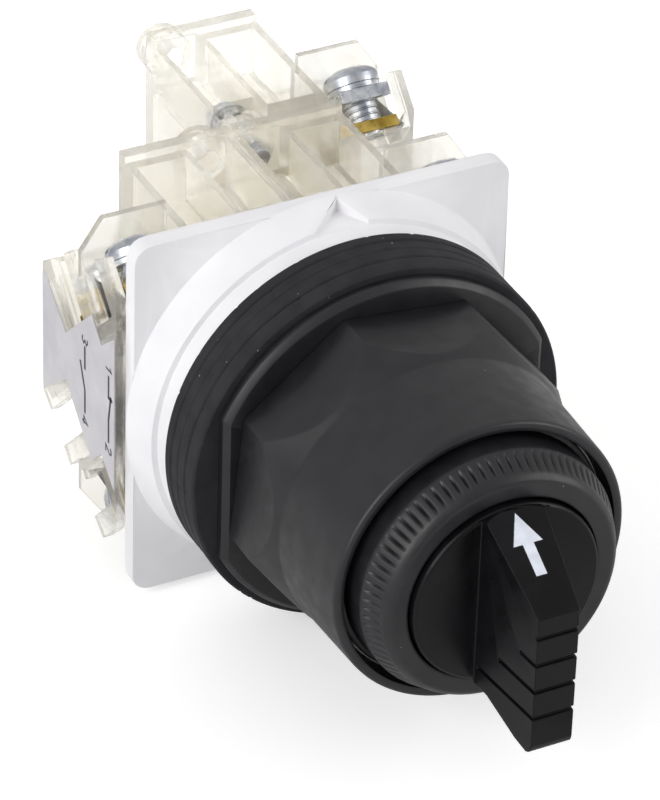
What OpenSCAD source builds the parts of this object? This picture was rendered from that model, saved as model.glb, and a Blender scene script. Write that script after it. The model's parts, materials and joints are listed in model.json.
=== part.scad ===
// Selector switch for a 30.5 mm panel hole, three positions, with clear contact blocks.
// The frame: X to the right seen from the front, Y towards the back, Z up.
// The origin is on the knob's axis, in the face of the body that bears on the panel.

/* [Mounting plate] */
// Width and height of the square plate
plate_w = 42; // [40.5:0.5:44]
// Thickness of the plate
plate_t = 2; // [1.5:0.1:3]
// Corner radius of the plate
plate_corner_r = 2; // [0.5:0.5:4]

/* [Drum] */
// Radius of the drum where it meets the plate
drum_rear_r = 21.85; // [21.4:0.05:22.5]
// Radius of the drum at its front edge
drum_front_r = 20.9; // [20.5:0.05:21.3]
// Length of the tapered drum
drum_len = 4; // [3:0.1:5]
// Radius of the hub that carries the gaskets
hub_r = 20.2; // [19.6:0.1:20.4]
// Length of the hub
hub_len = 2.3; // [1.5:0.1:3]
// Width of the V notch in the drum's rim
notch_w = 6.1; // [4:0.1:8]
// Depth of the V notch from the drum's front edge
notch_depth = 3.5; // [2.5:0.1:3.7]
// Sideways place of the notch's lowest point
notch_apex_x = 1; // [0:0.1:1.5]

/* [Barrel] */
// Outer radius of the threaded barrel
barrel_r = 14.75; // [14.5:0.05:15]
// Length of the barrel in front of the panel seat
barrel_len = 26; // [25:0.5:28]
// Wall of the barrel round the bezel's skirt
barrel_wall = 2.15; // [1.8:0.05:2.4]
// Radius of the cavity behind, where the cam turns
cavity_r = 11.8; // [11:0.1:12.4]
// How far the cavity reaches in front of the panel seat
cavity_front = 2; // [1.5:0.1:3]

/* [Gaskets and washer] */
// Outer radius of the rubber gaskets
gasket_r = 20.6; // [20:0.1:21]
// Thickness of the rear gasket
gasket_rear_t = 1.5; // [1.2:0.05:1.8]
// Thickness of the middle gasket
gasket_middle_t = 3.24; // [2.8:0.02:3.6]
// Thickness of the front gasket
gasket_front_t = 1.95; // [1.6:0.05:2.2]
// Size of a gasket's soft edges, and depth of the groove round the middle one
gasket_groove = 0.2; // [0.1:0.05:0.3]
// Outer radius of the thrust washer
washer_r = 19.65; // [19:0.05:20]
// Thickness of the thrust washer
washer_t = 1.5; // [1:0.1:2]
// Distance of the washer's two flats from the axis
washer_flat = 17.8; // [17:0.1:18.5]
// Size of the chamfer on the washer's front edge
washer_edge = 0.6; // [0.3:0.05:0.8]

/* [Ring nut] */
// Corner radius of the eight-sided part
nut_corner_r = 18; // [17.9:0.1:18.4]
// Turn of the nut's corners about the axis
nut_turn = 16.8; // [0:0.1:44]
// Length of the straight eight-sided part
nut_flat_len = 4.2; // [3:0.1:6]
// Length of the chamfer in front of it
nut_chamfer_len = 5; // [4:0.1:6]
// Radius of the collar where the chamfer ends
collar_rear_r = 16.3; // [16.1:0.05:16.5]
// Radius of the collar at its front
collar_front_r = 15.9; // [15.8:0.05:16]
// Length of the collar
collar_len = 11.3; // [10:0.1:12.5]
// Rounding of the collar's front rim
collar_rim_r = 0.5; // [0.3:0.05:0.5]

/* [Bezel ring] */
// Outer radius of the bezel ring
bezel_r = 13.9; // [13.6:0.05:14]
// Radius of its flat front ring
bezel_front_r = 12.8; // [12.4:0.05:13]
// Length of the bezel in front of the barrel
bezel_len = 7.4; // [7:0.1:8]
// Thickness of the flange that covers the barrel's end
bezel_flange_t = 0.6; // [0.4:0.1:0.8]
// Length of the knurled bevel
bezel_bevel_len = 3.2; // [2.5:0.1:3.5]
// Thickness of the lip that holds the knob
bezel_lip = 2; // [1.5:0.1:2.4]
// Number of knurl grooves round the bezel
knurl_count = 84; // [60:4:88]
// Width of a knurl groove
knurl_w = 0.5; // [0.3:0.05:0.6]
// Depth of the knurl
knurl_depth = 0.35; // [0.2:0.05:0.4]
// Length of the skirt inside the barrel
skirt_len = 2.5; // [2:0.1:3]
// Wall of the skirt
skirt_wall = 1.15; // [0.9:0.05:1.2]

/* [Knob] */
// Radius of the knob's disc
disc_r = 10.15; // [9.8:0.05:10.4]
// How far the disc stands in front of the bezel
disc_proud = 0.8; // [0.4:0.1:1.2]
// How far the flanges stand out past the disc
flange_step = 0.9; // [0.7:0.05:0.95]
// Radius of the knob's shaft
shaft_r = 5.5; // [5:0.1:5.6]
// Radius of the shaft's end that drives the cam
drive_r = 3.4; // [3:0.1:3.6]
// Width of the lever at its root
lever_root_w = 6.5; // [5.5:0.1:7]
// Width of the lever at its front face
lever_tip_w = 4.5; // [3.5:0.1:5]
// How far the lever stands in front of the disc
lever_len = 10; // [9:0.1:12]
// Height of the slope's lower end above the axis
lever_top_z = 4.2; // [3.5:0.1:5.5]
// Reach of the lever below the axis, at its front
lever_drop = 12.2; // [11:0.1:12.8]
// Reach of the lever below the axis, at its root
lever_root_drop = 9.9; // [9:0.1:10]
// Number of grip grooves across the lever
grip_count = 4; // [3:1:4]
// Distance between the grip grooves
grip_pitch = 3.18; // [2.8:0.01:3.3]
// Width and depth of a grip groove
grip_w = 0.45; // [0.3:0.05:0.6]
// Turn of the knob to each side of the middle
knob_turn = 45; // [30:1:50]

/* [Arrow] */
// Length of the arrow
arrow_len = 6.7; // [6:0.1:7.5]
// Distance of the arrow's tip from the slope's upper end
arrow_margin = 0.6; // [0.4:0.1:1]
// Width of the arrow's head
arrow_head_w = 3.15; // [2.5:0.05:3.6]
// Length of the arrow's head
arrow_head_len = 3.3; // [2.5:0.1:4]
// Width of the arrow's shaft
arrow_shaft_w = 1.15; // [0.8:0.05:1.5]
// Depth of the arrow's inlay
arrow_t = 0.3; // [0.2:0.05:0.5]

/* [Cam and pins] */
// Radius of the cam
cam_r = 9.5; // [9:0.1:10]
// Travel of a contact plunger to each side of the middle
plunger_travel = 1.5; // [1.2:0.05:1.6]
// Distance of the plungers from the knob's axis
plunger_x = 6.3; // [6.2:0.05:6.5]
// Radius of the push pins and of the plungers' rear stems
pin_r = 1.6; // [1.4:0.05:1.6]
// Radius of the detent ball
ball_r = 1.5; // [1.2:0.1:1.5]
// Distance of the detent ball from the axis
ball_place = 7.5; // [7.4:0.05:7.7]

/* [Contact block] */
// Width of a block, from the middle plane outwards
block_w = 22; // [21.5:0.5:24]
// Width of the tower beside the terminals, as a share of the block's width
tower_share = 0.5682; // [0.556:0.001:0.58]
// Depth of the tower behind the plate
tower_d = 20.3; // [20:0.1:23]
// Height of the tower's pocketed ends, above and below the contact chamber
end_h = 6.5; // [6:0.1:7.5]
// Depth of the terminal column
column_d = 18.3; // [18:0.1:19.5]
// Wall of the clear moulding
wall = 1.1; // [0.9:0.05:1.3]
// Height of the contact chamber
chamber_h = 21; // [20:0.5:22]
// Depth of the block's front plate
base_t = 1.2; // [1:0.1:1.4]
// Radius of the fixing ears
ear_r = 2.6; // [2.4:0.05:2.6]
// How far the ears stand out behind the tower
ear_len = 2.5; // [2:0.1:3]
// Radius of the hole in an ear
ear_hole_r = 1.3; // [1.2:0.05:1.5]
// Height of the ridge across the tower's back edge
ridge_h = 0.8; // [0.4:0.1:1.2]

/* [Terminals] */
// Lean of the terminal screws away from upright
lean = 45; // [43:1:47]
// Place of the screws in the clear width beside the tower, as a share of it
screw_share = 0.583; // [0.56:0.002:0.583]
// Sideways place of the front screws along the slope
front_q = 6.6; // [6.4:0.1:6.7]
// Sideways place of the rear screws along the slope
rear_q = -2.2; // [-2.5:0.1:-2.1]
// Level of the front seat along the screws
front_seat = 9; // [8.8:0.1:9.4]
// Level of the rear seat along the screws
rear_seat = 10.6; // [10.4:0.1:11]
// Level of the screw heads' undersides
head_level = 14.3; // [14:0.1:14.5]
// Radius of a screw head, as a share of the clear width
head_share = 0.357; // [0.31:0.002:0.36]
// Height of a screw head
head_h = 2.2; // [1.8:0.1:2.4]
// Radius of the screw's thread, as a share of the clear width
thread_share = 0.208; // [0.18:0.002:0.214]
// Half the length of the terminal pads along the slope
pad_reach = 3.05; // [2.9:0.05:3.1]
// Thickness of the terminal pads
pad_t = 1.2; // [1:0.1:1.4]
// Thickness of the wire clamps
clamp_t = 0.9; // [0.7:0.05:1.1]
// Thickness of the contact strips and bridges
strip_t = 0.8; // [0.6:0.05:0.9]
// Top of the guard between the terminals
guard_h = 18.2; // [17.6:0.1:19]
// Thickness of the guard
guard_t = 0.8; // [0.7:0.05:0.8]

/* [Label] */
// Thickness of the label
label_t = 0.12; // [0.1:0.02:0.2]

/* [Hidden] */

// Colours
white_plastic = [0.95, 0.95, 0.96];
black_plastic = [0.16, 0.16, 0.18];
black_rubber = [0.12, 0.12, 0.13];
clear_plastic = [0.89, 0.88, 0.82, 0.4];
zinc = [0.75, 0.76, 0.78];
brass = [0.68, 0.58, 0.30];
copper = [0.72, 0.45, 0.30];
spring_steel = [0.6, 0.6, 0.62];

// Fits
run_fit = 0.05;          // a shaft or pin in its own bore
seat_gap = 0.2;          // pieces that sit beside each other
cut = 0.1;               // how far a cutter passes a face
lead_in = 0.3;           // small chamfers and steps

// Levels along the axis, forwards of the panel seat
plate_front = -(hub_len + drum_len);
plate_back = plate_front - plate_t;
washer_at = gasket_rear_t + gasket_middle_t + gasket_front_t;
nut_at = washer_at + washer_t;
chamfer_at = nut_at + nut_flat_len;
collar_at = chamfer_at + nut_chamfer_len;
nut_bore_r = barrel_r + run_fit;
bezel_at = barrel_len;
bezel_end = bezel_at + bezel_len;
bezel_hole_r = disc_r + seat_gap;
skirt_r = barrel_r - barrel_wall - run_fit;
socket_r = barrel_r - barrel_wall;
web_front = bezel_at - skirt_len - 3.3;
spool_gap = seat_gap;
flange_r = disc_r + flange_step;
flange_t = 2.2;
detent_disc_at = web_front + spool_gap;
front_flange_end = bezel_end - bezel_lip - spool_gap;
disc_end = bezel_end + disc_proud;
lever_end = disc_end + lever_len;
hub_inner_r = ball_place + ball_r + 0.6;
core_floor = cavity_front + 4;

// The seal in its groove
seal_r = 0.85;
seal_at = cavity_front + 5.5;
seal_mean_r = shaft_r + run_fit + seal_r + run_fit;

// The cam
cam_front = cavity_front - 0.4;
cam_plate_t = 1.4;
cam_mean = -2.4;
cam_ramp = plunger_travel / knob_turn;
ramp_turn = knob_turn + 15;
ramp_r = cam_r - 0.4;
cam_hub_r = plunger_x - pin_r - 0.15;
cam_steps = 48;
cam_seat = -1;
cam_head_r = 3.6;
cam_head_h = 1.8;
cam_thread_r = 1.5;
cam_thread_len = 7;

// The detent
ball_at = web_front - ball_r + run_fit;
ball_bore_r = ball_r + run_fit;
ball_bore_len = 9.4;
dimple_r = ball_r + 0.2;
dimple_depth = 0.7;
stop_half = 9;

// The back cover and the push pins
cover_t = 1.6;
cover_r = cavity_r - run_fit;
pin_front = cam_mean - 0.15;
boss_tip = 1.6;

// The block: u outwards from the middle plane, v backwards from the plate, w up
pitch = tower_d + seat_gap;
half_chamber = chamber_h / 2;
half_h = half_chamber + end_h;
inner_gap = 0.1;
tower_w = tower_share * block_w;
tower_in = tower_w - wall;
ear_u = ear_r + inner_gap;
ear_z = half_h - ear_r;
pocket_floor = half_chamber + wall;
pocket_in = 0.8;
pocket_front = 5;
rib = 0.7;
rib_u = 2 * ear_u + rib / 2;

// Contacts
contact_w = 6.5;
button_r = 1.3;
button_t = 0.5;
bridge_half = 8.4;
bridge_w = 3;
nc_strip_v = 2.2;
contact_gap = plunger_travel + 0.1;
nc_bridge_v = nc_strip_v + strip_t + button_t + contact_gap + button_t;
no_bridge_v = nc_bridge_v + strip_t + 1.2;
no_strip_v = no_bridge_v + strip_t + button_t + contact_gap + button_t;
plunger_half_u = 2.5;
plunger_half_w = 2.2;
plunger_front = base_t + plunger_travel + seat_gap;
plunger_back = no_bridge_v + strip_t + 3.6;
strip_low = plunger_half_w + 0.8;
strip_high = contact_w + 2;
strip_neck = 1.6;

// Springs
return_wire = 0.25;
return_mean_r = pin_r + 0.15 + return_wire;
detent_wire = 0.2;

// Terminals, as wide as the clear width beside the tower lets them be
clear_w = block_w - wall - tower_w;
screw_u = tower_w + screw_share * clear_w;
head_r = head_share * clear_w;
thread_r = thread_share * clear_w;
pad_half = 0.363 * clear_w;
washer_half = 0.345 * clear_w;
clamp_half = 0.339 * clear_w;
sems_t = 0.6;

// Fixing screws, their heads against the front of a pocket
fixing_r = 1;
fixing_fit = 0.05;
fixing_head_r = ear_u - pocket_in - seat_gap;
fixing_head_h = 1.6;
fixing_hole_len = 3;

// A turned shape: points are [radius, distance forwards]
module turned(points) rotate_extrude($fn = 96) polygon(points);

// Head pieces are drawn with z forwards and y up, then laid along the switch's axis
module head() rotate([90, 0, 0]) children();

// A ring between two radii and two levels
module ring(r_out, r_in, from, to) turned([[r_in, from], [r_out, from], [r_out, to], [r_in, to]]);

// A round bar between two levels
module bar(r, from, to, sides = 48) translate([0, 0, from]) cylinder(r = r, h = to - from, $fn = sides);

// A box from its two corners
module block(low, high) translate(low) cube(high - low);

// An arc of points about a centre
function arc(centre, r, start, end, steps = 5) =
    [for (i = [0:steps]) centre + r * [cos(start + (end - start) * i / steps),
                                       sin(start + (end - start) * i / steps)]];

// An outline and its mirror image below the middle plane
function both_halves(points) =
    concat(points, [for (i = [len(points) - 1:-1:0]) [points[i][0], -points[i][1]]]);

// A coil: rings of a thin wire carried along a helix about z
module coil(mean_r, wire_r, from, to, turns, sides = 6, per_turn = 12) {
    steps = turns * per_turn;
    rise = (to - from - 2 * wire_r) / steps;
    points = [for (i = [0:steps], k = [0:sides - 1])
        let (t = 360 * i / per_turn, a = 360 * k / sides, r = mean_r + wire_r * cos(a))
        [r * cos(t), r * sin(t), from + wire_r + rise * i + wire_r * sin(a)]];
    walls = [for (i = [0:steps - 1], k = [0:sides - 1])
        let (n = (k + 1) % sides)
        [i * sides + k, i * sides + n, (i + 1) * sides + n, (i + 1) * sides + k]];
    first = [for (k = [sides - 1:-1:0]) k];
    last = [for (k = [0:sides - 1]) steps * sides + k];
    polyhedron(points, concat(walls, [first, last]));
}

// The white moulding: plate, drum, hub and barrel in one piece
module mounting_body() color(white_plastic) head() {
    hollowed_body();
    knob_stop_walls();
}

// The moulding without the stops, with its cavity, bearing, sockets and holes
module hollowed_body() difference() {
    union() {
        translate([0, 0, plate_back]) linear_extrude(plate_t) plate_outline();
        difference() {
            turned([[0, plate_front - cut], [drum_rear_r, plate_front - cut], [drum_rear_r, plate_front],
                    [drum_front_r, -hub_len], [0, -hub_len]]);
            rim_notch();
        }
        bar(hub_r, plate_front, 0, 96);
        bar(barrel_r, -cut, barrel_len, 96);
    }
    // The rear cavity, the bearing and the socket for the bezel's skirt
    bar(cavity_r, plate_back - cut, cavity_front, 96);
    bar(shaft_r + run_fit, plate_back, barrel_len);
    bar(socket_r, web_front, barrel_len + cut, 96);
    // Hollows that keep the walls even
    ring(socket_r - 0.3, hub_inner_r, core_floor, web_front + cut);
    ring(hub_r - 1.2, cavity_r + 4.6, plate_back - cut, -hub_len);
    // The seal's groove and the detent's bore
    ring(seal_mean_r + seal_r + run_fit, shaft_r, seal_at - seal_r - run_fit, seal_at + seal_r + run_fit);
    translate([0, -ball_place, 0]) bar(ball_bore_r, web_front - ball_bore_len, web_front + cut);
    // Holes for the contact blocks' fixing screws
    for (x = [-ear_u, ear_u], y = [-ear_z, ear_z])
        translate([x, y, 0]) bar(fixing_r + run_fit, plate_back - cut, plate_back + fixing_hole_len, 24);
}

// The two stops that end the knob's turn, left standing in the socket
module knob_stop_walls() {
    reach = knob_turn + stop_half + 1;
    for (side = [0, 1]) mirror([side, 0, 0]) rotate(90 + reach)
        rotate_extrude(angle = 14, $fn = 96)
            translate([flange_r + seat_gap, web_front - cut])
                square([socket_r - flange_r - seat_gap + cut, flange_t + cut]);
}

// The plate's outline with rounded corners
module plate_outline() {
    c = plate_w / 2 - plate_corner_r;
    polygon(concat(arc([c, c], plate_corner_r, 0, 90), arc([-c, c], plate_corner_r, 90, 180),
                   arc([-c, -c], plate_corner_r, 180, 270), arc([c, -c], plate_corner_r, 270, 360)));
}

// The V notch at the top of the drum's rim, cut down to the hub
module rim_notch() {
    half = notch_w / 2;
    translate([0, hub_r, 0]) rotate([90, 0, 0]) mirror([0, 0, 1]) linear_extrude(drum_rear_r)
        polygon([[-half - 0.2, -hub_len + cut], [half - 0.2, -hub_len + cut], [notch_apex_x, -hub_len - notch_depth]]);
}

// The disc that closes the cam's cavity, with the push pins' two guide holes
module back_cover() color(white_plastic) head() difference() {
    bar(cover_r, plate_back, plate_back + cover_t, 96);
    for (x = [-plunger_x, plunger_x]) translate([x, 0, 0])
        bar(pin_r + run_fit, plate_back - cut, plate_back + cover_t + cut);
}

// One rubber gasket: a ring with soft edges, and with a groove round its rim where it is thick
module gasket(from, thick, grooved = false) color(black_rubber) head() translate([0, 0, from]) {
    g = gasket_groove;
    r = gasket_r;
    inner = barrel_r + seat_gap;
    groove = grooved ? [[r, thick / 2 - g], [r - g, thick / 2], [r, thick / 2 + g]] : [];
    turned(concat([[inner, 0], [r - g, 0], [r, g]], groove, [[r, thick - g], [r - g, thick], [inner, thick]]));
}

// The thrust washer, a ring with two flats and a chamfer all round its front edge
module thrust_washer() color(black_plastic) head() intersection() {
    e = washer_edge;
    inner = barrel_r + run_fit;
    turned([[inner, washer_at], [washer_r, washer_at], [washer_r, nut_at - e], [washer_r - e, nut_at], [inner, nut_at]]);
    rotate([90, 0, 0]) linear_extrude(2 * washer_r + 1, center = true)
        polygon([[-washer_flat, washer_at - cut], [washer_flat, washer_at - cut], [washer_flat, nut_at - e],
                 [washer_flat - e, nut_at], [e - washer_flat, nut_at], [-washer_flat, nut_at - e]]);
}

// The ring nut: one turned form with a chamfer and a long collar, cut to eight flats at its back
module ring_nut() color(black_plastic) head() difference() {
    collar_end = collar_at + collar_len;
    intersection() {
        rotate(nut_turn) translate([0, 0, nut_at])
            cylinder(r = nut_corner_r, h = collar_end - nut_at + cut, $fn = 8);
        turned(concat([[0, nut_at], [nut_corner_r - lead_in, nut_at], [nut_corner_r, nut_at + lead_in],
                       [nut_corner_r, chamfer_at], [collar_rear_r, collar_at]],
                      arc([collar_front_r - collar_rim_r, collar_end - collar_rim_r], collar_rim_r, 0, 90),
                      [[0, collar_end]]));
    }
    bar(nut_bore_r, nut_at - cut, collar_end + cut, 96);
}

// The bezel ring: a thin flange on the barrel's end, a bevel with knurl grooves, a flat front ring
// and a skirt in the barrel
module bezel_ring() color(black_plastic) head() difference() {
    bevel_at = bezel_end - bezel_bevel_len;
    slope = atan2(bezel_r - bezel_front_r, bezel_bevel_len - 0.6);
    union() {
        turned([[0, bezel_at], [barrel_r - seat_gap, bezel_at], [barrel_r - seat_gap, bezel_at + bezel_flange_t],
                [bezel_r, bezel_at + bezel_flange_t], [bezel_r, bevel_at],
                [bezel_front_r, bezel_end - 0.6], [bezel_front_r - 0.6, bezel_end], [0, bezel_end]]);
        bar(skirt_r, bezel_at - skirt_len, bezel_at + cut, 96);
    }
    for (i = [0:knurl_count - 1]) rotate(360 * i / knurl_count) translate([bezel_r, 0, bevel_at])
        rotate([0, -slope, 0]) translate([-knurl_depth, -knurl_w / 2, 0.3]) cube([2, knurl_w, bezel_bevel_len]);
    bar(bezel_hole_r, bezel_at - skirt_len - cut, bezel_end + cut, 96);
    bar(skirt_r - skirt_wall, bezel_at - skirt_len - cut, bezel_end - bezel_lip, 96);
}

// The rubber ring that seals the shaft
module shaft_seal() color(black_rubber) head()
    rotate_extrude($fn = 96) translate([seal_mean_r, seal_at]) circle(r = seal_r, $fn = 24);

// The ball that clicks into the knob's dimples
module detent_ball() color(spring_steel) head() translate([0, -ball_place, ball_at]) sphere(r = ball_r, $fn = 32);

// The spring behind the ball
module detent_spring() color(spring_steel) head() translate([0, -ball_place, 0])
    coil(ball_r - detent_wire - 0.2, detent_wire, web_front - ball_bore_len + 0.05,
         ball_at - ball_r - 0.05, 6);

// The lever's outline from the side: points are [distance forwards, height]
function lever_side() = let (e = lever_end, r = 1.2, d = disc_end)
    concat([[d - cut, disc_r], [d, disc_r], [e, lever_top_z]],
           arc([e - r, r - lever_drop], r, 0, -75, 4),
           [[d + 0.72 * lever_len, 0.4 - lever_drop], [d + 0.22 * lever_len, -lever_root_drop - 0.1],
            [d - cut, -lever_root_drop]]);

// The lever before its grooves are cut: its side outline and its plan meet
module lever_form() intersection() {
    rotate([0, -90, 0]) linear_extrude(2 * disc_r, center = true) polygon(lever_side());
    rotate([90, 0, 0]) linear_extrude(4 * disc_r, center = true)
        polygon([[-lever_root_w / 2, disc_end - cut], [lever_root_w / 2, disc_end - cut],
                 [lever_tip_w / 2, lever_end + cut], [-lever_tip_w / 2, lever_end + cut]]);
    union() {
        bar(disc_r, disc_end - cut, lever_end + cut, 96);
        translate([-disc_r, -2 * disc_r, disc_end - cut]) cube([2 * disc_r, 2 * disc_r, lever_len + 1]);
    }
}

// The grip grooves: across the front face, and back along both sides further down the lever
module grip_grooves() for (i = [0:grip_count - 1]) {
    z = lever_top_z - 2.3 - i * grip_pitch;
    side_len = max(0, 3.4 * i - 0.6);
    translate([-lever_tip_w, z - grip_w / 2, lever_end - 0.3]) cube([2 * lever_tip_w, grip_w, 1]);
    if (i > 0) for (side = [0, 1]) mirror([side, 0, 0])
        translate([lever_tip_w / 2, z - grip_w / 2, lever_end]) rotate([0, atan2(lever_tip_w - lever_root_w,
            2 * lever_len), 0]) translate([-0.3, 0, -side_len]) cube([1, grip_w, side_len + 0.5]);
}

// The slope on the lever's upper side, seen square on: z out of the slope, y up along it
module on_slope() translate([0, lever_top_z, lever_end])
    rotate([-atan2(lever_len, disc_r - lever_top_z) , 0, 0]) children();

slope_len = norm([lever_len, disc_r - lever_top_z]);

// The arrow's outline, its tip near the slope's upper end
module arrow_outline() {
    tip = slope_len - arrow_margin;
    h = arrow_head_w / 2;
    s = arrow_shaft_w / 2;
    neck = tip - arrow_head_len;
    tail = tip - arrow_len;
    polygon([[0, tip], [h, neck], [s, neck], [s, tail], [-s, tail], [-s, neck], [-h, neck]]);
}

// The knob: lever, disc, the spool between its two flanges, and the shaft
module knob() color(black_plastic) head() difference() {
    union() {
        turned([[0, cam_seat], [drive_r, cam_seat], [drive_r, cam_front], [shaft_r, cam_front],
                [shaft_r, detent_disc_at], [flange_r, detent_disc_at], [flange_r, detent_disc_at + flange_t],
                [0.75 * disc_r, detent_disc_at + flange_t], [0.75 * disc_r, front_flange_end - flange_t],
                [flange_r, front_flange_end - flange_t], [flange_r, front_flange_end],
                [disc_r, front_flange_end], [disc_r, disc_end - 0.3], [disc_r - 0.3, disc_end], [0, disc_end]]);
        lever_form();
        // The lug that meets the stops
        rotate(90 - stop_half) rotate_extrude(angle = 2 * stop_half, $fn = 96)
            translate([flange_r - 1, detent_disc_at])
                square([socket_r - flange_r + 1 - seat_gap, flange_t - seat_gap]);
    }
    grip_grooves();
    on_slope() translate([0, 0, -arrow_t]) linear_extrude(1) arrow_outline();
    // Flats on the end that drives the cam
    for (side = [0, 1]) mirror([side, 0, 0])
        translate([0.8 * drive_r, -drive_r, cam_seat - cut]) cube([drive_r, 2 * drive_r, cam_front - cam_seat + cut]);
    bar(cam_thread_r + run_fit, cam_seat - cut, cam_thread_len, 24);
    // A dimple for the ball at each of the three positions
    for (a = [-knob_turn, 0, knob_turn]) rotate(a) translate([0, -ball_place, detent_disc_at - dimple_r + dimple_depth])
        sphere(r = dimple_r, $fn = 32);
}

// The white arrow let into the slope
module arrow() color("white") head() on_slope() translate([0, 0, -arrow_t]) linear_extrude(arrow_t) arrow_outline();

// Height of the cam's rear face at an angle measured from the top, the same on both sides
function cam_level(a) = let (turn = max(-ramp_turn, min(ramp_turn, a - 90))) cam_mean - turn * cam_ramp;

// The ramp of the cam: four corners at each step round the axis, joined into a closed ring
module cam_ramp_ring() {
    base = cam_front - cam_plate_t / 2;
    points = [for (i = [0:cam_steps - 1])
        let (t = 360 * i / cam_steps, level = cam_level(t > 180 ? 360 - t : t), c = sin(t), s = cos(t))
        each [[cam_hub_r * c, cam_hub_r * s, base], [ramp_r * c, ramp_r * s, base],
              [ramp_r * c, ramp_r * s, level], [cam_hub_r * c, cam_hub_r * s, level]]];
    polyhedron(points, [for (i = [0:cam_steps - 1], k = [0:3])
        let (j = (i + 1) % cam_steps, n = (k + 1) % 4)
        each [[4 * i + k, 4 * i + n, 4 * j + n], [4 * i + k, 4 * j + n, 4 * j + k]]]);
}

// The cam: a disc on the shaft's end with a ramp behind it that moves both push pins
module cam() color(white_plastic) head() difference() {
    union() {
        bar(cam_r, cam_front - cam_plate_t, cam_front, 96);
        bar(cam_hub_r + 0.05, cam_seat, cam_front - cut, 48);
        cam_ramp_ring();
    }
    intersection() {
        bar(drive_r + run_fit, cam_seat - cut, cam_front + cut);
        translate([-0.8 * drive_r - run_fit, -cam_r, cam_seat - 2 * cut])
            cube([1.6 * drive_r + 2 * run_fit, 2 * cam_r, cam_front - cam_seat + 4 * cut]);
    }
}

// The screw that holds the cam on the shaft
module cam_screw() color(zinc) head() difference() {
    union() {
        bar(cam_head_r, cam_seat - cam_head_h, cam_seat, 48);
        bar(cam_thread_r, cam_seat - cut, cam_thread_len - 0.5, 24);
    }
    translate([-cam_head_r, -0.4, cam_seat - cam_head_h - cut]) cube([2 * cam_head_r, 0.8, 0.9]);
}

// A push pin between the cam and a plunger; its front end is rounded where it runs on the ramp
module push_pin(side) color(spring_steel) head() translate([side * plunger_x, 0, 0]) {
    bar(pin_r, plate_back - boss_tip, pin_front - pin_r, 48);
    translate([0, 0, pin_front - pin_r]) sphere(r = pin_r, $fn = 48);
}

// Where the three contact blocks stand
module left_side() translate([0, -plate_back, 0]) rotate([0, 180, 0]) children();
module right_side() translate([0, -plate_back, 0]) children();
module behind() translate([0, pitch - plate_back, 0]) children();

// A place on a terminal's slope: p along the screw, q across it
function sloped(p, q) = [p * sin(lean) - q * cos(lean), p * cos(lean) + q * sin(lean)];

// Pieces of a terminal are drawn with z along the screw and x outwards
module on_terminal(q) translate([screw_u, 0, 0]) rotate([-lean, 0, 0]) translate([0, -q, 0]) children();

// The same piece at the top and at the bottom of the block
module both_ends() {
    children();
    mirror([0, 0, 1]) children();
}

// An outline [v, w] made as thick as the block is from one u to another
module across(from, to, points) translate([from, 0, 0]) rotate([90, 0, 90]) linear_extrude(to - from) polygon(points);

// Outline of the outer side wall, with slots between three sloping prongs at each end
function side_wall() = both_halves([
    [0, 14], [3.2, 17.2], [5.4, 15.8], sloped(front_seat, 7.3), sloped(front_seat, 3.6),
    sloped(head_level - 0.1, 3.6), sloped(head_level - 0.1, 1.3), sloped(17.5, 1.3), sloped(17.7, -0.9),
    sloped(rear_seat, -0.9), sloped(rear_seat, -4.9), [16.3, 9.4], [column_d, 8]]);

// Outline of the column that carries the terminals, and of the hollow in it
step_q = 2;
back_q = -6;
column_front = (front_seat - 0.2) / cos(lean) ;
function column_outline() = both_halves([
    [0, column_front], sloped(front_seat, step_q), sloped(rear_seat, step_q), sloped(rear_seat, back_q),
    sloped(17.9, back_q), [column_d, 8]]);
function column_hollow() = both_halves([
    [wall, column_front - wall * 2.4], sloped(front_seat - wall, step_q - wall),
    sloped(rear_seat - wall, step_q - wall), sloped(rear_seat - wall, back_q - wall),
    sloped(15.4, back_q - wall), [column_d - wall, 6.4]]);

// Outline of the barrier between a front and a rear terminal
guard_v = 8.55;
function guard_outline() = [
    sloped(front_seat - 0.2, step_q - 0.5), sloped(head_level - 0.2, step_q - 0.5), [guard_v + guard_t, 11.4],
    [guard_v + guard_t, guard_h], [guard_v, guard_h], [guard_v, 12.1], sloped(head_level - 0.3, step_q + 0.6),
    sloped(front_seat - 0.2, step_q + 0.6)];

// The clear moulding of a contact block
module housing() color(clear_plastic) difference() {
    union() {
        block([inner_gap, 0, -half_h], [tower_w, tower_d, half_h]);
        across(tower_w - cut, block_w - wall + cut, column_outline());
        across(block_w - wall, block_w, side_wall());
        both_ends() {
            guard();
            block([inner_gap, tower_d - 1.5, half_h - cut], [tower_w, tower_d, half_h + ridge_h]);
            ear();
        }
    }
    // The contact chamber, open towards the plate
    block([wall, -cut, -half_chamber], [tower_in, tower_d - wall, half_chamber]);
    across(tower_w, block_w - wall, column_hollow());
    both_ends() {
        pockets();
        // The fixing screw's way from the ear to the front
        translate([ear_u, 0, ear_z]) rotate([-90, 0, 0]) {
            bar(fixing_r + fixing_fit, -cut, pocket_front + cut, 32);
            bar(ear_hole_r, pocket_front, tower_d + ear_len + cut, 32);
            bar(ear_r + 0.15, -cut, ear_len + 0.2, 48);
        }
        strips(clearance = 0.1);
        for (q = [front_q, rear_q]) on_terminal(q) bar(thread_r + 0.2, front_seat - 3, head_level, 32);
    }
    // The rear stem's guide
    translate([plunger_x, tower_d - wall - cut, 0]) rotate([-90, 0, 0]) bar(pin_r + run_fit, 0, wall + 2 * cut);
}

// A guard with its outer corner taken off
module guard() intersection() {
    across(tower_w - cut, block_w, guard_outline());
    translate([0, 20, 0]) rotate([90, 0, 0]) linear_extrude(20)
        polygon([[0, 0], [block_w, 0], [block_w, guard_h - 3.5], [block_w - 2.4, guard_h], [0, guard_h]]);
}

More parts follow.
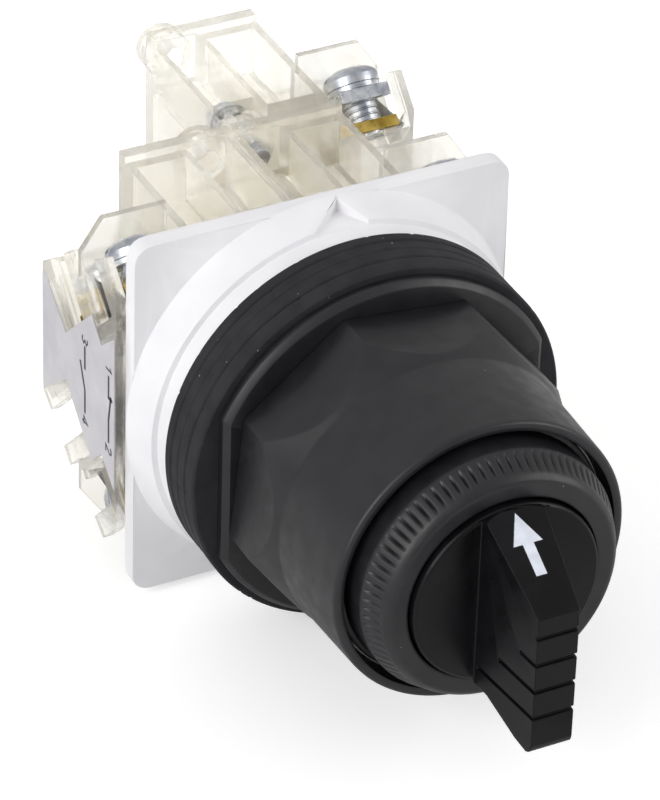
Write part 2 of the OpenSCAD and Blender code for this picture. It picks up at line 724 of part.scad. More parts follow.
// A rounded ear behind the tower that takes a fixing screw
module ear() translate([ear_u, tower_d - cut, ear_z]) rotate([-90, 0, 0]) bar(ear_r, 0, ear_len + cut);

// The two open pockets in the tower's end, with a thin rib between them
module pockets() {
    block([pocket_in, pocket_front, pocket_floor], [rib_u - rib / 2, tower_d - wall, half_h + cut]);
    block([rib_u + rib / 2, 3, pocket_floor], [tower_w - 0.9, tower_d - 2.8, half_h + cut]);
}

// The front plate that closes the chamber and guides the plunger
module base() color(clear_plastic) difference() {
    block([wall + run_fit, 0, -half_chamber + run_fit], [tower_in - run_fit, base_t, half_chamber - run_fit]);
    translate([plunger_x, -cut, 0]) rotate([-90, 0, 0]) bar(pin_r + 0.6 + run_fit, 0, base_t + 2 * cut);
}

// The plunger that carries both bridges, with a boss in front and a stem behind
module plunger() color("white") difference() {
    union() {
        block([plunger_x - plunger_half_u, plunger_front, -plunger_half_w],
              [plunger_x + plunger_half_u, plunger_back, plunger_half_w]);
        translate([plunger_x, 0, 0]) rotate([-90, 0, 0]) {
            bar(pin_r + 0.6, boss_tip, plunger_front + cut);
            bar(pin_r, plunger_back - cut, pitch + boss_tip);
        }
    }
    for (v = [nc_bridge_v, no_bridge_v])
        block([plunger_x - bridge_w / 2 - run_fit, v, -plunger_half_w - cut],
              [plunger_x + bridge_w / 2 + run_fit, v + strip_t, plunger_half_w + cut]);
}

// A bridge with a contact button at each end, in front or behind
module bridge(v, front) color(copper) {
    block([plunger_x - bridge_w / 2, v, -bridge_half], [plunger_x + bridge_w / 2, v + strip_t, bridge_half]);
    both_ends() translate([plunger_x, front ? v - button_t : v + strip_t - cut, contact_w]) rotate([-90, 0, 0])
        bar(button_r, 0, button_t + cut, 24);
}
module nc_bridge() bridge(nc_bridge_v, true);
module no_bridge() bridge(no_bridge_v, false);

// The spring that returns the plunger
module return_spring() color(spring_steel) translate([plunger_x, 0, 0]) rotate([-90, 0, 0])
    coil(return_mean_r, return_wire, plunger_back + 0.05, tower_d - wall - 0.05, 5);

// The fixed contact strips of one end; clearance widens them into the slots that hold them
module strips(clearance = 0) {
    c = clearance;
    inner_u = plunger_x - button_r;
    // The front strip runs out from its button and up to the front pad
    block([inner_u - c, nc_strip_v - c, strip_low - c], [tower_w + c, nc_strip_v + strip_t + c, strip_high + c]);
    block([tower_w - 1, nc_strip_v - c, strip_high - 2.5 - c],
          [screw_u - thread_r - 0.4 + c, nc_strip_v + strip_t + c, 11.4]);
    // The rear strip runs out low down and ends under the rear pad
    block([inner_u - c, no_strip_v - c, strip_low - c], [tower_in - 0.3, no_strip_v + strip_t + c, strip_high + c]);
    block([tower_in - 1, no_strip_v - c, strip_low - c],
          [screw_u + c, no_strip_v + strip_t + c, strip_low + strip_neck + c]);
}

// The pads under the screws
module pads() {
    on_terminal(front_q) block([-pad_half, -2, front_seat], [pad_half, pad_reach, front_seat + pad_t]);
    on_terminal(rear_q) block([-pad_half, -pad_reach, rear_seat], [pad_half, pad_reach + 0.5, rear_seat + pad_t]);
}

// All fixed contacts of a block
module terminals() color(brass) both_ends() difference() {
    union() {
        strips();
        pads();
        translate([plunger_x, nc_strip_v + strip_t - cut, contact_w]) rotate([-90, 0, 0])
            bar(button_r, 0, button_t + cut, 24);
        translate([plunger_x, no_strip_v - button_t, contact_w]) rotate([-90, 0, 0])
            bar(button_r, 0, button_t + cut, 24);
    }
    for (q = [front_q, rear_q]) on_terminal(q) bar(thread_r + run_fit, front_seat - 3, head_level, 32);
}

// One wire clamp: a square plate with its two edges turned down
module clamp(level) difference() {
    union() {
        block([-clamp_half, -clamp_half, level + 0.5], [clamp_half, clamp_half, level + 0.5 + clamp_t]);
        for (side = [0, 1]) mirror([0, side, 0])
            block([-clamp_half, clamp_half - clamp_t, level], [clamp_half, clamp_half, level + 1]);
    }
    bar(thread_r + run_fit, level - cut, level + 3, 32);
}

// The clamps of a block: up under the heads, or down on the pads
module clamps(down = false) color(down ? brass : zinc) both_ends() {
    up = head_level - sems_t - clamp_t - 0.5;
    on_terminal(front_q) clamp(down ? front_seat + pad_t : up);
    on_terminal(rear_q) clamp(down ? rear_seat + pad_t : up);
}

// The washers under the heads
module washers() color(zinc) both_ends() for (q = [front_q, rear_q]) on_terminal(q)
    ring(washer_half, thread_r + run_fit, head_level - sems_t, head_level);

// One terminal screw: a domed head with a slot, and its thread
module terminal_screw(seat) difference() {
    union() {
        bar(thread_r, seat, head_level + cut, 32);
        turned(concat([[0, head_level], [head_r, head_level]],
                      [for (a = [0:15:90]) [head_r * cos(a), head_level + 0.9 + (head_h - 0.9) * sin(a)]]));
    }
    translate([-head_r - cut, -0.45, head_level + head_h - 1.1]) cube([2 * head_r + 2 * cut, 0.9, 2]);
}

// The four terminal screws of a block, backed out as they are delivered
module screws() color(zinc) both_ends() {
    on_terminal(front_q) terminal_screw(front_seat - 0.4);
    on_terminal(rear_q) terminal_screw(rear_seat - 2.5);
}

// The two screws that fix a block, turned by a driver that enters through the ears' holes
module fixing_screws() color(zinc) both_ends() translate([ear_u, 0, ear_z]) rotate([-90, 0, 0]) difference() {
    head_end = pocket_front + fixing_head_h;
    union() {
        bar(fixing_r, seat_gap - fixing_hole_len, pocket_front + cut, 24);
        bar(fixing_head_r, pocket_front, head_end, 32);
    }
    translate([-fixing_head_r - cut, -0.3, head_end - 0.7]) cube([2 * fixing_head_r + 2 * cut, 0.6, 1]);
}

// The label on a block's outer wall, cut out round the terminals
module label() color("white") across(block_w, block_w + label_t, both_halves([
    [0.3, 9.3], [3.4, 6.7], [5.8, 9], [12.2, 2.9], [17.4, 7.1], [column_d - 0.3, 7.1]]));

mounting_body();
back_cover();
gasket(0, gasket_rear_t);  // gasket_rear
gasket(gasket_rear_t, gasket_middle_t, grooved = true);  // gasket_middle
gasket(washer_at - gasket_front_t, gasket_front_t);  // gasket_front
thrust_washer();
ring_nut();
bezel_ring();
shaft_seal();
detent_ball();
detent_spring();
knob();
arrow();
cam();
cam_screw();
push_pin(-1);  // left_push_pin
push_pin(1);  // right_push_pin
left_side() housing();  // left_housing
left_side() base();  // left_base
left_side() plunger();  // left_plunger
left_side() nc_bridge();  // left_nc_bridge
left_side() no_bridge();  // left_no_bridge
left_side() return_spring();  // left_return_spring
left_side() terminals();  // left_terminals
left_side() clamps(down = true);  // left_clamps
left_side() washers();  // left_washers
left_side() screws();  // left_screws
left_side() fixing_screws();  // left_fixing_screws
left_side() label();  // left_label
right_side() housing();  // right_housing
right_side() base();  // right_base
right_side() plunger();  // right_plunger
right_side() nc_bridge();  // right_nc_bridge
right_side() no_bridge();  // right_no_bridge
right_side() return_spring();  // right_return_spring
right_side() terminals();  // right_terminals
right_side() clamps();  // right_clamps
right_side() washers();  // right_washers
right_side() screws();  // right_screws
right_side() fixing_screws();  // right_fixing_screws
behind() housing();  // rear_housing
behind() base();  // rear_base
behind() plunger();  // rear_plunger
behind() nc_bridge();  // rear_nc_bridge
behind() no_bridge();  // rear_no_bridge
behind() return_spring();  // rear_return_spring
behind() terminals();  // rear_terminals
behind() clamps();  // rear_clamps
behind() washers();  // rear_washers
behind() screws();  // rear_screws
behind() fixing_screws();  // rear_fixing_screws
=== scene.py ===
# %% [markdown]
# A selector switch: a black lever knob in a knurled bezel, a long ring nut and rubber gaskets that clamp
# the switch to a panel, a white moulded body, and three clear contact blocks with their screws in view.
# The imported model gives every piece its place. This script gives the pieces their finish: soft edges,
# ribbed rubber, knurl, screw threads, wound springs, a printed label, materials, lights and a camera.
# Lengths are written in millimetres and turned to metres where they enter a mesh.

# %% Load the frame
import json

import bmesh
import bpy
import numpy as np
from mathutils import Matrix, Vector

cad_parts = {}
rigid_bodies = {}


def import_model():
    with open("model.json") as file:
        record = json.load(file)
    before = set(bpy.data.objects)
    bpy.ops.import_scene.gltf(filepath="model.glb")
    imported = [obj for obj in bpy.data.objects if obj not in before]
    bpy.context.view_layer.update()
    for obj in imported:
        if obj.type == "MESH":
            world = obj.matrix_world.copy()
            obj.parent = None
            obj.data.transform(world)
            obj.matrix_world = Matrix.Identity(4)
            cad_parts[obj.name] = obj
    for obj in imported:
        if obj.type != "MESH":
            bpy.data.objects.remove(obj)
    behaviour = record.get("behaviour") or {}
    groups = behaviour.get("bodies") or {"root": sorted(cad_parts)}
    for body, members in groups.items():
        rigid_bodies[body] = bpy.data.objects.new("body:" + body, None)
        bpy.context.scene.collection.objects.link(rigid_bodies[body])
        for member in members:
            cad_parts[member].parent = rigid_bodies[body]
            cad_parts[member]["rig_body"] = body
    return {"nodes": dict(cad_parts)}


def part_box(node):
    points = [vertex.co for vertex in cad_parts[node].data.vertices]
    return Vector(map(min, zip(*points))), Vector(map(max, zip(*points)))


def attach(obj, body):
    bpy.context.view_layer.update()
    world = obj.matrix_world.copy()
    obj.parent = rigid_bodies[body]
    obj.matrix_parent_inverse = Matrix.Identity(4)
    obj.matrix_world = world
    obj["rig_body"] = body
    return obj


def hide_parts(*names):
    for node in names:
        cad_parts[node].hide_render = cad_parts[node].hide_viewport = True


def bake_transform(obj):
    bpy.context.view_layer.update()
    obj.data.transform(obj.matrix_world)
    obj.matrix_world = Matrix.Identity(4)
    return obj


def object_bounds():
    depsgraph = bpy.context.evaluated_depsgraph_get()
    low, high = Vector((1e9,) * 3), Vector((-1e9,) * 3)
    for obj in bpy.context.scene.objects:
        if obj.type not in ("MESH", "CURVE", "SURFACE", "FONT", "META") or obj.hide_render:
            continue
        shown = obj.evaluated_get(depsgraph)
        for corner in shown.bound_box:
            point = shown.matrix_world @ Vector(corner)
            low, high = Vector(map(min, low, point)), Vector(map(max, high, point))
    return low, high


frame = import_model()
cad_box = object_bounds()
MM = 0.001
print("pieces in the frame:", len(frame["nodes"]))

# %% [markdown]
# The rings of the head all stand on one axis, which runs along Y with its front towards -Y. Measuring
# them in the frame is better than writing their sizes down again, because the finished rings then stay
# where the solid ones are.

# %% Measure a ring
def ring_sizes(node):
    """Inner radius, outer radius, rear level and front level of a ring, in mm: the least and greatest
    sqrt(x^2 + z^2) of its corners, and the least and greatest -y."""
    corners = np.empty(len(frame["nodes"][node].data.vertices) * 3)
    frame["nodes"][node].data.vertices.foreach_get("co", corners)
    x, y, z = corners.reshape(-1, 3).T / MM
    radius = np.hypot(x, z)
    sizes = radius.min(), radius.max(), (-y).min(), (-y).max()
    print(node, "radii %.2f to %.2f, levels %.2f to %.2f mm" % sizes)
    return sizes


# %% [markdown]
# New surfaces are grids of points. A helper numbers the faces of a grid, and another closes a tube of
# rings with a fan at each end. A closed mesh has a signed volume, so a shell that came out inside out is
# found by that sum and turned round.

# %% Grids and tubes
def grid_faces(rows, columns, loop_rows=True):
    """Four-cornered faces between the points (i, k), (i+1, k), (i+1, k+1), (i, k+1) of a grid that is
    numbered row by row. The columns always loop, and the rows do where loop_rows says so."""
    i = np.arange(rows if loop_rows else rows - 1)[:, None]
    k = np.arange(columns)[None, :]
    j, n = (i + 1) % rows, (k + 1) % columns
    corners = np.broadcast_arrays(i * columns + k, j * columns + k, j * columns + n, i * columns + n)
    return np.stack(corners, axis=-1).reshape(-1, 4)


def tube(rings):
    """Points and faces of a closed tube: four-cornered faces between its rings, and a fan from each end
    ring to that ring's middle point."""
    rows, columns = rings.shape[:2]
    k = np.arange(columns)
    n = (k + 1) % columns
    last = (rows - 1) * columns
    first_fan = np.stack([k, n, np.full(columns, rows * columns)], axis=-1)
    last_fan = np.stack([n + last, k + last, np.full(columns, rows * columns + 1)], axis=-1)
    points = np.concatenate([rings.reshape(-1, 3), rings[[0, -1]].mean(axis=1)])
    return points, [grid_faces(rows, columns, loop_rows=False), first_fan, last_fan]


def volume(points, faces):
    """Signed volume: the sum of a . (b x c) / 6 over the triangles of each face's fan."""
    total = 0.0
    for group in faces:
        for second in range(1, group.shape[1] - 1):
            a, b, c = (points[group[:, corner]] for corner in (0, second, second + 1))
            total += np.einsum("ij,ij->", a, np.cross(b, c)) / 6
    return total


# %% [markdown]
# A piece of the finished switch is one object with one finish, and it moves with one body of the
# mechanism. One function does all of that, so a piece made below is a list of shells and a few names.
# The faces of a shell that is inside out are turned here, before any bevel or shading sees them.

# %% Put shells into a piece
def smooth(mesh, angle):
    """Shades a mesh smooth, apart from edges that turn by more than angle degrees."""
    mesh.shade_smooth()
    mesh.set_sharp_from_angle(angle=np.radians(angle))


def make_piece(name, shells, slot, body, replaced=(), angle=40):
    """One piece from closed shells of points in mm. Its object sits at the origin, so its place is in its
    points, and it takes its finish from a slot of the record."""
    points, faces, count, total = [], [], 0, 0.0
    for shell_points, shell_faces in shells:
        size = volume(shell_points, shell_faces)
        turn = 1 if size > 0 else -1
        faces += [face for group in shell_faces for face in (group[:, ::turn] + count).tolist()]
        points.append(shell_points)
        count += len(shell_points)
        total += abs(size)
    mesh = bpy.data.meshes.new(name)
    mesh.from_pydata((np.concatenate(points) * MM).tolist(), [], faces)
    smooth(mesh, angle)
    return settle(name, mesh, slot, body, replaced, "%.1f mm3" % total)


def settle(name, mesh, slot, body, replaced, note):
    """Links a mesh as a piece, gives it its slot and its body, and hides the solids that it stands for."""
    mesh.materials.clear()
    mesh.materials.append(finishes[slot])
    piece = bpy.data.objects.new(name, mesh)
    bpy.context.scene.collection.objects.link(piece)
    if body:
        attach(piece, body)
    if replaced:
        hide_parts(*replaced)
    print(name, "has", len(mesh.polygons), "faces,", note)
    return piece


# %% [markdown]
# Materials come first, because each piece asks for its finish by the name of its slot. Colours are
# written as sRGB hex values, as a paint programme shows them, and the shader wants linear light, so one
# function turns them. A material is a tree of nodes. It could be clicked together by hand, but one small
# function that adds a node, sets it and links it lets the whole tree be read as a few lines.

# %% Colours and nodes
def linear(code):
    """Linear red, green, blue and 1 from an sRGB hex value: c / 12.92 where c is at most 0.04045, and
    ((c + 0.055) / 1.055) ^ 2.4 above it."""
    c = np.array([int(code[i:i + 2], 16) for i in (0, 2, 4)]) / 255
    c = np.where(c <= 0.04045, c / 12.92, ((c + 0.055) / 1.055) ** 2.4)
    return (*c.tolist(), 1.0)


def add(tree, kind, inputs=(), **settings):
    """Adds one node with its settings. inputs gives a socket's name or number its value, or the output of
    another node that feeds it."""
    made = tree.nodes.new("ShaderNode" + kind)
    for name, value in settings.items():
        setattr(made, name, value)
    for socket, value in dict(inputs).items():
        if isinstance(value, bpy.types.NodeSocket):
            tree.links.new(value, made.inputs[socket])
        else:
            made.inputs[socket].default_value = value
    return made


def new_finish(name, colour, roughness, **surface):
    """A material with one Principled surface. Numbers that are the same all over go on its own sockets."""
    made = bpy.data.materials.new(name)
    made.use_nodes = True
    tree = made.node_tree
    tree.nodes.clear()
    shader = add(tree, "BsdfPrincipled", {"Base Color": linear(colour), "Roughness": roughness})
    for socket, value in surface.items():
        shader.inputs[socket.replace("_", " ")].default_value = value
    add(tree, "OutputMaterial", {"Surface": shader.outputs[0]})
    return made, tree, shader


def shown_instead(tree, mixed):
    """Puts a mixed shader in the place of the plain one at the end of a material."""
    output = next(node for node in tree.nodes if node.type == "OUTPUT_MATERIAL")
    tree.links.new(mixed.outputs[0], output.inputs["Surface"])


# %% [markdown]
# Moulded plastic is never one flat colour. Three patterns do most of the work here: clouds, which shift
# colour or gloss over some millimetres, a fine grain that breaks up the highlight, and flecks of lint,
# which cling to rubber and black plastic in every close photograph. A picture wrapped round the piece
# could do the same, but noise has no seams and stays sharp from near. All patterns read Object
# coordinates, so they are fixed to the piece, and their sizes are written in millimetres.

# %% Clouds, grain and flecks
def clouds(tree, size, detail=2.0, stretch=(1, 1, 1)):
    """A cloudy pattern from 0 to 1, noise of the place on the piece divided by size mm and stretched."""
    place = add(tree, "TexCoord").outputs["Object"]
    turned = add(tree, "Mapping", {"Vector": place, "Scale": stretch}).outputs[0]
    return add(tree, "TexNoise", {"Vector": turned, "Scale": 1 / (size * MM), "Detail": detail}).outputs[0]


def spread(tree, value, low, high, lowest=0.35, highest=0.65):
    """Carries a pattern's middle range over to the range from low to high."""
    return add(tree, "MapRange", {"Value": value, "From Min": lowest, "From Max": highest,
                                  "To Min": low, "To Max": high}).outputs[0]


def blended(tree, factor, first, second):
    """The colour between two colours, by a factor from 0 to 1."""
    return add(tree, "Mix", {0: factor, 6: first, 7: second}, data_type="RGBA").outputs[2]


def grained(tree, shader, size, height, stretch=(1, 1, 1)):
    """Raises a fine grain on the surface: a bump of clouds size mm across and height mm high."""
    bump = add(tree, "Bump", {"Height": clouds(tree, size, 3.0, stretch), "Distance": height * MM,
                              "Strength": 1.0})
    tree.links.new(bump.outputs[0], shader.inputs["Normal"])


def mottled(tree, shader, first, second, size):
    """Lets the colour wander between two shades over clouds size mm across, and returns it."""
    colour = blended(tree, spread(tree, clouds(tree, size), 0, 1), linear(first), linear(second))
    tree.links.new(colour, shader.inputs["Base Color"])
    return colour


def uneven_gloss(tree, shader, low, high, size):
    """Lets the roughness wander between low and high over clouds size mm across."""
    tree.links.new(spread(tree, clouds(tree, size), low, high), shader.inputs["Roughness"])


def linted(tree, shader, colour, lint, spacing, radius):
    """Scatters flecks of lint: a place is in one where the nearest of many random points, spacing mm
    apart, is nearer than radius mm, and where a broad cloud lets flecks settle."""
    place = add(tree, "TexCoord").outputs["Object"]
    cells = add(tree, "TexVoronoi", {"Vector": place, "Scale": 1 / (spacing * MM)})
    near = spread(tree, cells.outputs["Distance"], 1, 0, 0.6 * radius / spacing, radius / spacing)
    settled = spread(tree, clouds(tree, 5 * spacing), 0, 1, 0.5, 0.6)
    amount = add(tree, "Math", {0: near, 1: settled}, operation="MULTIPLY").outputs[0]
    tree.links.new(blended(tree, amount, colour, linear(lint)), shader.inputs["Base Color"])


# %% [markdown]
# The body is injection-moulded white nylon. It is satin, a little cool in colour, and its tool leaves a
# fine even grain that keeps the highlight wide. Light that sinks in and comes out again would soften
# nylon a little further, at the cost of render time. The plate reads as nylon without it, so a plain
# surface was chosen.

# %% White moulded nylon
def white_moulded_nylon():
    """Satin white with a very fine tool grain: it gives the eye a soft, slightly cool plate."""
    made, tree, shader = new_finish("white_moulded_nylon", "F0EFF1", 0.45)
    mottled(tree, shader, "F2F1F3", "EBEAED", 9.0)
    uneven_gloss(tree, shader, 0.4, 0.52, 3.0)
    grained(tree, shader, 0.35, 0.004)
    return made


# %% [markdown]
# The nut, washer and bezel are nylon filled with short glass fibres. The fibres near the skin make the
# black a little grey and mottled, with a dull broad sheen, and dust shows on it. A single fibre is about
# a hundredth of a millimetre thick, too fine for this picture, so the mottle is drawn three millimetres
# wide, as coarse as it needs to be to show.

# %% Black glass-filled nylon
def black_glass_filled_nylon():
    """Dull black with a grey mottle, a broad sheen and a few specks: it reads as a filled plastic."""
    made, tree, shader = new_finish("black_glass_filled_nylon", "17161A", 0.4, Specular_IOR_Level=0.5)
    colour = mottled(tree, shader, "151418", "1B1A1E", 3.0)
    linted(tree, shader, colour, "9A9AA0", 2.2, 0.07)
    uneven_gloss(tree, shader, 0.36, 0.46, 2.0)
    grained(tree, shader, 0.18, 0.003)
    return made


# %% [markdown]
# The knob comes from a polished tool, so it is darker than the nut and its flat faces mirror the room a
# little. Fingers leave faint clouds in its gloss. A coat over the colour would be another way to make
# it, but this plastic has none: a lower roughness and a darker colour are what the real one has.

# %% Polished black knob
def polished_black_moulding():
    """Deep black with a tighter highlight and faint handling clouds: the one glossy black piece."""
    made, tree, shader = new_finish("polished_black_moulding", "08080A", 0.3, Specular_IOR_Level=0.2)
    colour = mottled(tree, shader, "070709", "0D0C10", 5.0)
    linted(tree, shader, colour, "8E8E95", 3.4, 0.06)
    uneven_gloss(tree, shader, 0.27, 0.36, 2.5)
    grained(tree, shader, 0.3, 0.002)
    return made


# %% [markdown]
# Moulded rubber is the dullest black here. It hardly mirrors anything, its surface is slightly pebbled,
# and it holds more lint than the plastic beside it. The pebbles are about 0.2 mm wide and a hundredth of
# a millimetre high, as a blasted mould leaves them.

# %% Matt rubber
def matt_rubber():
    """Dead matt black with a pebbled skin and lint: it separates the gaskets from the plastic."""
    made, tree, shader = new_finish("matt_rubber", "232326", 0.75, Specular_IOR_Level=0.3)
    colour = mottled(tree, shader, "212124", "2A2A2E", 2.5)
    linted(tree, shader, colour, "B9B9BD", 1.5, 0.09)
    grained(tree, shader, 0.22, 0.012)
    return made


# %% [markdown]
# The contact blocks are clear polycarbonate. Edges gather light and show darker lines, and thick parts
# look a little yellow. Faint flow waves from moulding bend what is seen through it. The real index of
# refraction is 1.58, but a ray crosses many walls here, and when that value was tried, the walls turned
# hazy and the screws behind them blurred. At 1.34 edges and screws stay legible, as in the photograph.
# Lamps have to reach the metal inside, so for shadow rays the wall is only a thin tint.

# %% Clear polycarbonate
THROUGH = 0.25    # the share of every other ray that passes straight on, and a shadow ray passes whole


def clear_polycarbonate():
    """Clear, faintly yellow and slightly wavy: the contacts and screws show through soft refractions."""
    made, tree, shader = new_finish("clear_polycarbonate", "FCFBF8", 0.16, IOR=1.34,
                                    Transmission_Weight=0.85)
    mottled(tree, shader, "FDFCFA", "FAF8F2", 6.0)
    uneven_gloss(tree, shader, 0.1, 0.24, 2.5)
    grained(tree, shader, 2.4, 0.012)
    see_through = add(tree, "BsdfTransparent", {"Color": linear("FAF9F5")})
    shadow_ray = spread(tree, add(tree, "LightPath").outputs["Is Shadow Ray"], THROUGH, 1, 0, 1)
    shown_instead(tree, add(tree, "MixShader", {0: shadow_ray, 1: shader.outputs[0],
                                                2: see_through.outputs[0]}))
    return made


# %% [markdown]
# Inside are a natural acetal plunger and cam, zinc-plated screws, brass terminals, silvered copper
# bridges and spring wire. Zinc plating is bright but hazy, with clouds of blue and grey. Brass darkens
# in patches where it was handled. A metal's colour is that of its reflections, so each metal is a pair
# of shades for its mirror with a fine grain, and zinc and brass get a roughness that wanders as well.

# %% Acetal and metals
def natural_acetal():
    """Milky white and waxy: a touch of light goes into it, as in the real plastic."""
    made, tree, shader = new_finish("natural_acetal", "ECE9DF", 0.4, Subsurface_Weight=0.15,
                                    Subsurface_Scale=0.001)
    mottled(tree, shader, "EEEBE1", "E4E0D3", 3.0)
    grained(tree, shader, 0.4, 0.003)
    return made


def bright_zinc_plate():
    """Bright hazy metal with clouds of cool grey: it gives the screw heads their soft mirror."""
    made, tree, shader = new_finish("bright_zinc_plate", "C6C9CE", 0.3, Metallic=1.0)
    mottled(tree, shader, "D2D4D8", "A9ADB6", 1.6)
    uneven_gloss(tree, shader, 0.2, 0.42, 0.9)
    grained(tree, shader, 0.25, 0.004)
    return made


def drawn_spring_wire():
    """Darker steel with die marks drawn along the wire."""
    made, tree, shader = new_finish("drawn_spring_wire", "9B9CA0", 0.34, Metallic=1.0)
    mottled(tree, shader, "A5A6AA", "85868B", 0.8)
    grained(tree, shader, 0.12, 0.002, (1, 4, 1))
    return made


def stamped_brass():
    """Yellow metal, satin from the press, darker where it has tarnished."""
    made, tree, shader = new_finish("stamped_brass", "C4A755", 0.32, Metallic=1.0)
    mottled(tree, shader, "CDB264", "9C8238", 1.8)
    uneven_gloss(tree, shader, 0.25, 0.45, 1.0)
    grained(tree, shader, 0.2, 0.003)
    return made


def silvered_copper():
    """Pale warm metal, the copper just showing through its thin silver."""
    made, tree, shader = new_finish("silvered_copper", "D8C4B4", 0.28, Metallic=1.0)
    mottled(tree, shader, "DDD2C8", "C49A7E", 1.5)
    grained(tree, shader, 0.2, 0.002)
    return made


# %% [markdown]
# The last finishes are flat: the white arrow inlay, the satin label and the ink on it. The label is a white
# film, and its colour is painted pale grey as painted shade for the shade on the switch's left side. Ink lies
# in a thin film that doesn't cover evenly, so its black breaks up a little at a small scale.

# %% Arrow, label and ink
def arrow_inlay():
    """Cool white, flat and nearly matt, with faint grey handling marks."""
    made, tree, shader = new_finish("arrow_inlay", "DEE2EC", 0.5)
    mottled(tree, shader, "E2E6F0", "D3D7E2", 1.4)
    grained(tree, shader, 0.2, 0.003)
    return made


def label_in_painted_shade():
    """A white film painted pale grey as shade, satin, with the slight unevenness of its glue: duller than the
    white plate.
    """
    # The pale grey base colour is painted shade: the label itself is white.
    made, tree, shader = new_finish("label_in_painted_shade", "C6C4C8", 0.42)
    mottled(tree, shader, "CAC8CC", "BEBCC1", 4.0)
    grained(tree, shader, 1.2, 0.003)
    return made


def label_ink():
    """Black ink that covers a little unevenly."""
    made, tree, shader = new_finish("label_ink", "2B2A30", 0.6)
    mottled(tree, shader, "242329", "45444D", 0.4)
    return made


finishes = {
    "white_moulding": white_moulded_nylon(),
    "black_moulding": black_glass_filled_nylon(),
    "knob_moulding": polished_black_moulding(),
    "gasket_rubber": matt_rubber(),
    "clear_moulding": clear_polycarbonate(),
    "plunger_moulding": natural_acetal(),
    "zinc_steel": bright_zinc_plate(),
    "spring_steel": drawn_spring_wire(),
    "brass": stamped_brass(),
    "silvered_copper": silvered_copper(),
    "arrow_white": arrow_inlay(),
    # the label's pale grey finish is painted shade
    "label_paper": label_in_painted_shade(),
}
print("finishes:", ", ".join(finish.name for finish in finishes.values()))

# %% [markdown]
# A moulded or stamped piece never has a knife edge. Each could be modelled again from nothing, but its
# shape is right in the solid. So the solids that are right as they stand are copied, their loose triangles
# joined, their flat faces made whole, and a small bevel breaks every edge, so that each one catches a
# thin line of light, as the knob's edges do in the photograph.

# %% Soften the edges of a solid
EDGE_ANGLE, FLAT_ANGLE, SAME_PLACE = 32, 0.5, 1e-6    # degrees, degrees and metres


def softened(node, width):
    """A copy of a solid with its edges broken by a bevel width mm wide, in the solid's place."""
    source = frame["nodes"][node]
    mesh = source.data.copy()
    work = bmesh.new()
    work.from_mesh(mesh)
    bmesh.ops.remove_doubles(work, verts=work.verts, dist=SAME_PLACE)
    bmesh.ops.dissolve_limit(work, angle_limit=np.radians(FLAT_ANGLE), verts=work.verts, edges=work.edges)
    work.to_mesh(mesh)
    work.free()
    smooth(mesh, EDGE_ANGLE)
    slot = source.data.materials[0].name
    piece = settle(node + "_finished", mesh, slot, source["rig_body"], (node,), "bevel %.2f mm" % width)
    if width:
        bevel = piece.modifiers.new("soft_edges", "BEVEL")
        bevel.width = width * MM
        bevel.segments = 2
        bevel.limit_method = "ANGLE"
        bevel.angle_limit = np.radians(EDGE_ANGLE)
        bevel.use_clamp_overlap = False
        bevel.harden_normals = True
    return piece


# The bevel's width in mm for each node of the head, and for each piece of a contact block.
HEAD_EDGES = {"mounting_body": 0.08, "back_cover": 0.1, "knob": 0.12, "arrow": 0.03, "cam": 0.08,
              "cam_screw": 0.08, "left_push_pin": 0, "right_push_pin": 0, "left_label": 0}
BLOCK_EDGES = {"housing": 0.1, "base": 0.08, "plunger": 0.1, "nc_bridge": 0.06, "no_bridge": 0.06,
               "terminals": 0.06, "clamps": 0.08, "washers": 0.06, "screws": 0.06, "fixing_screws": 0.06}
BLOCKS = ("left", "right", "rear")
for node, width in HEAD_EDGES.items():
    softened(node, width)
for block in BLOCKS:
    for part, width in BLOCK_EDGES.items():
        softened(block + "_" + part, width)

# %% [markdown]
# Every ring of the head is a section carried round the axis, which is what Blender's Screw modifier does
# as well. Here the points are worked out as one array, because the radius may then also depend on the
# angle, for flats, grooves and wear. The section is a closed line of radius and level. Its corners are
# rounded by a short curve each, and points are added along its long sides where the surface has to bend.

# %% Round a section and carry it round the axis
def rounded(corners, radius, steps=5):
    """A closed section with rounded corners. Each corner c becomes the curve
    (1-t)^2 a + 2 t (1-t) c + t^2 b, with a and b one radius from c along its two sides."""
    c = np.asarray(corners, float)
    before, after = np.roll(c, 1, axis=0) - c, np.roll(c, -1, axis=0) - c
    reach = [np.minimum(radius / np.linalg.norm(side, axis=1), 0.45)[:, None] for side in (before, after)]
    a, b = c + before * reach[0], c + after * reach[1]
    t = np.linspace(0, 1, steps)[:, None, None]
    curve = (1 - t) ** 2 * a + 2 * t * (1 - t) * c + t ** 2 * b
    return curve.transpose(1, 0, 2).reshape(-1, 2)


def filled_in(section, spacing):
    """The same closed section with more points: the length along it is cut every spacing mm as well as at
    its own points, and the place is read off by straight interpolation."""
    closed = np.concatenate([section, section[:1]])
    along = np.concatenate([[0], np.cumsum(np.linalg.norm(np.diff(closed, axis=0), axis=1))])
    cuts = np.union1d(along, np.arange(0, along[-1], spacing))
    cuts = cuts[np.concatenate([[True], np.diff(cuts) > 0.1 * spacing])]
    cuts = cuts[cuts < along[-1] - 0.1 * spacing]
    return np.stack([np.interp(cuts, along, closed[:, n]) for n in (0, 1)], axis=-1)


def carried_round(section, steps, shape=None):
    """Carries a section round the axis. Point (i, k) is (r cos a, -f, r sin a), where a is the i-th even
    angle, f the level of the section's point k, and r its radius, or shape(a, radius, f)."""
    a = np.linspace(0, 2 * np.pi, steps, endpoint=False)[:, None]
    radius, level = section[:, 0][None, :], section[:, 1][None, :]
    r = shape(a, radius, level) if shape else radius + 0 * a
    points = np.stack([r * np.cos(a), -level + 0 * a, r * np.sin(a)], axis=-1)
    return points.reshape(-1, 3), [grid_faces(steps, len(section))]


